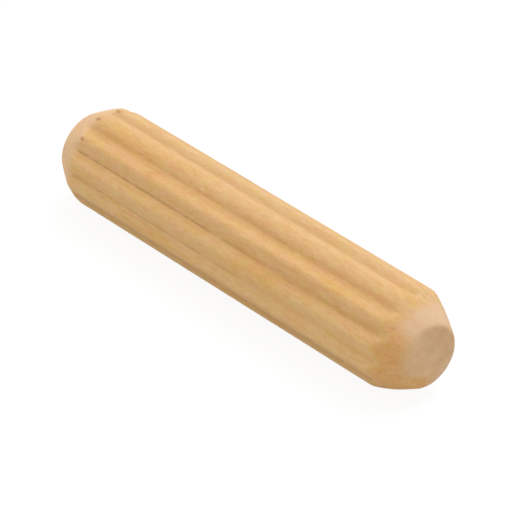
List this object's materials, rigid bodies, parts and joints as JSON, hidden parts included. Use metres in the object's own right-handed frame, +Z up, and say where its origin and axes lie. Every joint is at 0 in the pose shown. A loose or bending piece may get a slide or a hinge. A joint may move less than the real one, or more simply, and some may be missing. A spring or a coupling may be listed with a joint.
{
  "type": "fluted dowel pin",
  "caption": "Straight fluted wooden dowel pin with a chamfer at each end, glued into two drilled holes to join boards or rails.",
  "frame": {"origin": "on the pin's axis, halfway between its two end faces", "axes": "+X along the pin, +Z up with the pin lying on the two lands beside its lowest flute"},
  "size_m": [0.035, 0.0078, 0.0078],
  "materials": {
    "beech": "bare sanded hardwood, unfinished"
  },
  "bodies": {
    "root": {"dowel_pin": "beech"}
  },
  "joints": []
}
